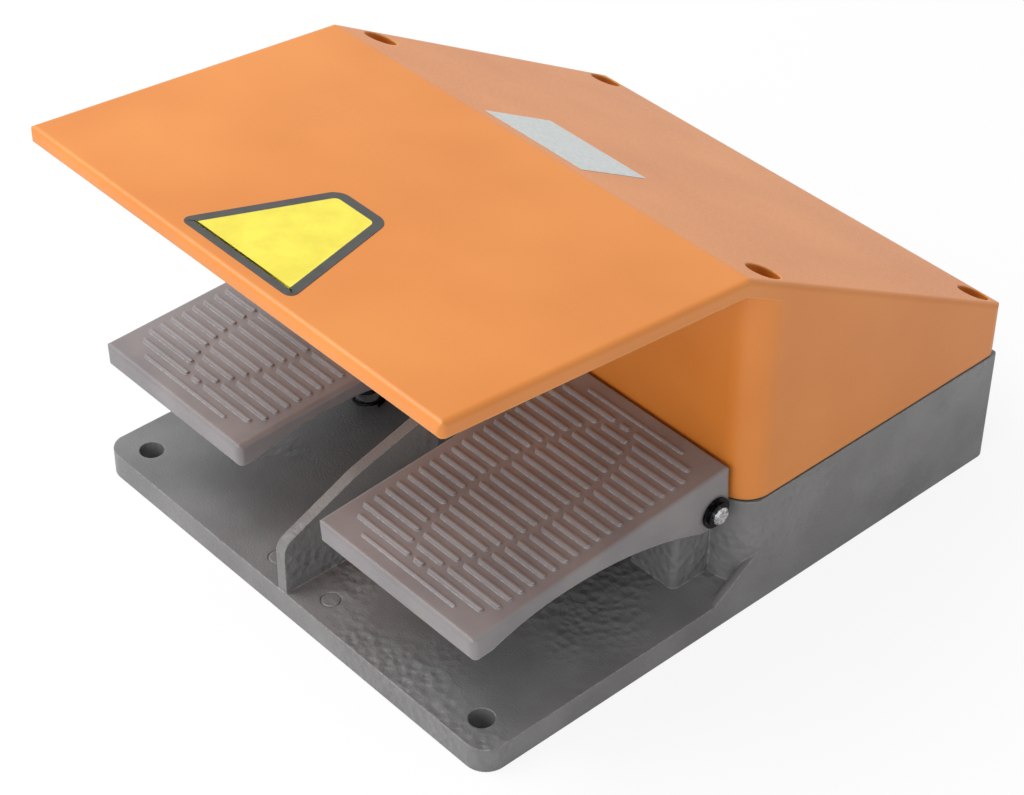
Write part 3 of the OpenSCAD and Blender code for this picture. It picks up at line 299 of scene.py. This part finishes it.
def cast_paint(name, tones, worn_and_highlight, grain_mm, depth_mm, wrinkle_mm):
    """Enamel on a sand casting: mottled grey, edges painted pale in speckles (worn paint and a painted
    highlight), sand grain and wrinkles.

    tones is the (dark, plain) pair of greys, depth_mm and wrinkle_mm how high the grain and
    the wrinkles stand.
    """
    dark, plain = tones
    material, tree, shader, place = new_material(name)
    bevel, edge = rounded(tree, CAST_EDGE_MM)
    cloud = grain(tree, place, CLOUD_MM, 3.0)
    tone = ramp(tree, (cloud, "Fac"), [(0.35, dark), (0.65, plain)])
    speckle = grain(tree, place, SCUFF_AND_HIGHLIGHT_MM, 4.0)
    scuff_and_highlight_breakup = ramp(tree, (speckle, "Fac"), [(0.40, 0.25), (0.62, 1.0)])
    share = add(tree, "ShaderNodeMath", {"operation": "MULTIPLY"},
                _0=(edge, "Color"), _1=(scuff_and_highlight_breakup, "Color"))
    # edges painted pale in speckles: worn paint and a painted highlight
    colour = blend_colour(tree, (share, 0), (tone, "Color"), worn_and_highlight)
    fine = grain(tree, place, grain_mm, 3.0)
    rough = ramp(tree, (fine, "Fac"), [(0.3, 0.34), (0.7, 0.50)])
    sand = bump(tree, (fine, "Fac"), depth_mm, bevel)
    wave = add(tree, "ShaderNodeTexVoronoi", {"feature": "SMOOTH_F1"}, Vector=(place, "Object"),
               Scale=per_metre(WRINKLE_MM), Smoothness=0.6)
    patch = grain(tree, place, WRINKLED_PATCH_MM, 1.0)
    where = ramp(tree, (patch, "Fac"), [(0.50, 0.0), (0.62, 1.0)])
    folds = add(tree, "ShaderNodeMath", {"operation": "MULTIPLY"},
                _0=(wave, "Distance"), _1=(where, "Color"))
    surface = bump(tree, (folds, 0), wrinkle_mm, sand)
    link(tree, shader, Base_Color=(colour, 0), Roughness=(rough, "Color"), Normal=(surface, "Normal"))
    shader.inputs["IOR"].default_value = PAINT_IOR
    return material


# a rough grey that looks sprayed over sand; pale edges: worn paint and a painted highlight
base_paint = cast_paint("grey_enamel_on_sand_casting", ("#6C6C6C", "#7C7C7C"), "#A8A8A8",
                        grain_mm=1.1, depth_mm=0.22, wrinkle_mm=1.1)
# a smoother grey whose faint mauve is a painted reflection of the orange cover; pale edges: shoe wear and a
# painted highlight
pedal_paint = cast_paint("grey_enamel_on_pedal_casting", ("#787577", "#868283"), "#BDBBBA",
                         grain_mm=0.9, depth_mm=0.07, wrinkle_mm=0.0)
dress(base_paint, "base_casting")
dress(pedal_paint, "left_pedal", "right_pedal")
print("painted castings:", base_paint.name, pedal_paint.name)

# %% [markdown]
# ## Orange powder coat
# The cover is a cast shell with a baked satin powder coat. Powder melts into a very fine orange
# peel; along the edges a lighter, yellower orange is a painted highlight. A slow cloud of two
# oranges keeps the wide hood from looking flat, and a low bump gives the peel.

# %% Powder coat
COAT_EDGE_MM = 1.4
COAT_CLOUD_MM = 70
PEEL_MM = 1.3
PEEL_DEPTH_MM = 0.05

material, tree, shader, place = new_material("orange_baked_powder_coat")
bevel, edge = rounded(tree, COAT_EDGE_MM)
cloud = grain(tree, place, COAT_CLOUD_MM, 2.0)
tone = ramp(tree, (cloud, "Fac"), [(0.3, "#D17C2E"), (0.7, "#DC883A")])
# painted highlight: every edge of the cover is painted a lighter, yellower orange
colour = blend_colour(tree, (edge, "Color"), (tone, "Color"), "#F0AC58")
peel = grain(tree, place, PEEL_MM, 2.0)
rough = ramp(tree, (peel, "Fac"), [(0.3, 0.34), (0.7, 0.44)])
surface = bump(tree, (peel, "Fac"), PEEL_DEPTH_MM, bevel)
link(tree, shader, Base_Color=(colour, 0), Roughness=(rough, "Color"), Normal=(surface, "Normal"))
shader.inputs["IOR"].default_value = PAINT_IOR
dress(material, "top_cover")
print("powder coat on top_cover:", material.name)

# %% [markdown]
# ## Rubber, plastics and metals
# The small pieces each come from one process. Moulded rubber and nylon are matt with a faint
# grain; turned and plated metals show a mottled plating; the clips are blackened steel, and the
# return springs are as dark, painted shade that sinks them into the dark under the pedals.
# A metal keeps the default IOR, and its colour is its reflection.

# %% Small finishes
SMALL_EDGE_MM = 0.35


def small_finish(name, tones, mottle_mm, rough, depth_mm, metal=0, ior=1.5):
    """A mottled surface with a grain.

    tones is the (dark, light) pair of colours, rough the (smooth, dull) pair of roughnesses.
    """
    dark, light = tones
    material, tree, shader, place = new_material(name)
    bevel = rounded(tree, SMALL_EDGE_MM)[0]
    mottle = grain(tree, place, mottle_mm, 3.0)
    tone = ramp(tree, (mottle, "Fac"), [(0.35, dark), (0.65, light)])
    dull = ramp(tree, (mottle, "Fac"), [(0.35, rough[0]), (0.65, rough[1])])
    surface = bump(tree, (mottle, "Fac"), depth_mm, bevel)
    link(tree, shader, Base_Color=(tone, "Color"), Roughness=(dull, "Color"), Normal=(surface, "Normal"))
    shader.inputs["Metallic"].default_value = metal
    if not metal:
        shader.inputs["IOR"].default_value = ior
    return material


# each finish: (dark, light), mottle in mm, (smooth, dull), depth in mm, metallic, IOR, its pieces
FINISHES = {
    # moulded nitrile rubber: matt, nearly black, a faint bloom
    "moulded_nitrile_rubber": (("#1E1814", "#2A221C"), 3.0, (0.65, 0.80), 0.02, 0, 1.52,
                               ["cover_gasket", "left_rod_seal", "right_rod_seal", "gland_seal"]),
    # turned steel, zinc plated: bright, mottled where the plating is uneven
    "zinc_plated_turned_steel": (("#8E9194", "#D4D8DA"), 1.2, (0.18, 0.38), 0.02, 1, 1.5,
                                 ["left_pivot_pin", "right_pivot_pin", "cover_screws", "plate_screws",
                                  "switch_screws", "switch_nuts", "block_screws", "terminal_screws",
                                  "earth_screw", "earth_washer", "switch_plate"]),
    # blackened steel of the clips: dark with an oily shine; on the return springs the same dark is painted
    # shade
    "blackened_clips_and_painted_shade_springs": (("#121214", "#26262A"), 1.5, (0.30, 0.45), 0.01, 1, 1.5,
                                   ["left_pin_clips", "right_pin_clips", "left_rod_clip", "right_rod_clip",
                                    "left_return_spring", "right_return_spring"]),
    # bearing bronze, turned and oil-soaked: warm brown, fine pores
    "oiled_bearing_bronze": (("#8A5F30", "#AA7C46"), 0.8, (0.35, 0.50), 0.02, 1, 1.5,
                             ["left_rod_bush", "right_rod_bush"]),
    # stamped brass terminals: yellow, slightly tarnished
    "stamped_brass": (("#A8863C", "#CDAA58"), 1.5, (0.25, 0.40), 0.01, 1, 1.5,
                      ["left_switch_terminals", "right_switch_terminals"]),
    # phenolic moulding of the switches: dark brown, semi-gloss
    "dark_phenolic_moulding": (("#44281F", "#523024"), 5.0, (0.35, 0.45), 0.01, 0, 1.6,
                               ["left_switch_case", "right_switch_case"]),
    # turned nylon: milky white, waxy
    "natural_turned_nylon": (("#DDD9CE", "#EAE7DD"), 4.0, (0.40, 0.52), 0.01, 0, 1.53,
                             ["left_pivot_spacers", "right_pivot_spacers", "left_push_rod", "right_push_rod",
                              "left_switch_button", "right_switch_button", "terminal_block"]),
    # grey moulded nylon of the cable gland: matt with a spark-eroded texture
    "spark_textured_grey_nylon": (("#505356", "#5C5F62"), 0.6, (0.50, 0.62), 0.03, 0, 1.53,
                                  ["gland_body", "gland_washer", "gland_locknut", "gland_cap"]),
}
for name, (tones, mottle_mm, rough, depth_mm, metal, ior, pieces) in FINISHES.items():
    dress(small_finish(name, tones, mottle_mm, rough, depth_mm, metal, ior), *pieces)
print("small finishes:", len(FINISHES))

# %% [markdown]
# ## The two stickers
# Two vinyl stickers lie on the cover: a yellow one with a dark rim low on the hood, and a
# silver-grey one on the rear slope. Both are blank. Each starts as a plane, is narrowed, gets
# round corners and an inset rim in edit mode, is laid on the cover by casting rays down to it,
# and gets the thickness of vinyl. The rim of the yellow one is dark print, its field yellow.

# %% Lay a sticker
VINYL = 0.15 * MM
CORNER_SEGMENTS = 6
ABOVE_ALL = 1.0
DOWN = Vector((0, 0, -1))
cover = nodes["top_cover"]
bpy.context.view_layer.update()


def lay_on_cover(piece):
    """Drops each point of a flat piece on the cover, one vinyl thickness above it."""
    for vertex in piece.data.vertices:
        start = Vector((vertex.co.x, vertex.co.y, ABOVE_ALL))
        hit, spot, _, _ = cover.ray_cast(start, DOWN)
        vertex.co.z = spot.z + VINYL if hit else vertex.co.z


def sticker(name, low, high, rear_share, corner_mm, rim_mm):
    """A blank sticker over a plan rectangle, its rear edge narrowed to rear_share of its front."""
    bpy.ops.object.select_all(action="DESELECT")
    middle = (Vector(low) + Vector(high)) / 2
    bpy.ops.mesh.primitive_plane_add(size=1, location=(middle.x, middle.y, 0))
    piece = bpy.context.object
    piece.name = name
    bpy.ops.object.mode_set(mode="EDIT")
    bpy.ops.transform.resize(value=(high[0] - low[0], high[1] - low[1], 1))
    mesh = bmesh.from_edit_mesh(piece.data)
    for vertex in mesh.verts:
        vertex.select = vertex.co.y > 0
    mesh.select_flush_mode()
    bpy.ops.transform.resize(value=(rear_share, 1, 1))
    bpy.ops.mesh.select_all(action="SELECT")
    bpy.ops.mesh.bevel(offset=corner_mm * MM, segments=CORNER_SEGMENTS, affect="VERTICES")
    if rim_mm:
        bpy.ops.mesh.select_all(action="SELECT")
        bpy.ops.mesh.inset(thickness=rim_mm * MM, depth=0)
        mesh = bmesh.from_edit_mesh(piece.data)
        for face in mesh.faces:
            face.material_index = 1 if len(face.verts) > 4 else 0
        bmesh.update_edit_mesh(piece.data)
    bpy.ops.object.mode_set(mode="OBJECT")
    bpy.ops.object.transform_apply(location=True, rotation=True, scale=True)
    lay_on_cover(piece)
    shell = piece.modifiers.new("vinyl", "SOLIDIFY")
    shell.thickness = VINYL
    shell.offset = -1
    bpy.ops.object.modifier_apply(modifier=shell.name)
    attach(piece, "housing")
    print(name, "faces:", len(piece.data.polygons))
    return piece


def on_plan(across_mm, back_mm):
    """A point in plan, from the middle of the cover and the front edge of the base plate."""
    return (across_mm * MM, plate_front + back_mm * MM)


sign = sticker("blank_yellow_sticker", on_plan(-34, -12), on_plan(34, 50),
               rear_share=0.42, corner_mm=5, rim_mm=4.5)
plate = sticker("blank_silver_sticker", on_plan(-34, 141), on_plan(24, 178),
                rear_share=1.0, corner_mm=0.6, rim_mm=0)

# %% [markdown]
# ## Printed vinyl and foil
# Stickers are printed vinyl: an even colour under a clear satin film. The silver one is a foil,
# slightly brushed, so its grey wavers a little. They take the recipe of the small finishes.

# %% Sticker finishes
# dark print: nearly black, satin
dark_print = small_finish("dark_printed_vinyl", ("#343432", "#40403E"), 6.0, (0.38, 0.46), 0.01)
# yellow print: bright and even
yellow_print = small_finish("yellow_printed_vinyl", ("#E0D03C", "#E9DC48"), 9.0, (0.36, 0.44), 0.01)
# silver foil: pale grey that wavers
silver_foil = small_finish("silver_foil_vinyl", ("#B9BEBE", "#CDD2D0"), 2.0, (0.30, 0.42), 0.01)
for print_colour in (dark_print, yellow_print):
    sign.data.materials.append(print_colour)
plate.data.materials.append(silver_foil)
print("stickers:", [m.name for m in sign.data.materials], plate.data.materials[0].name)
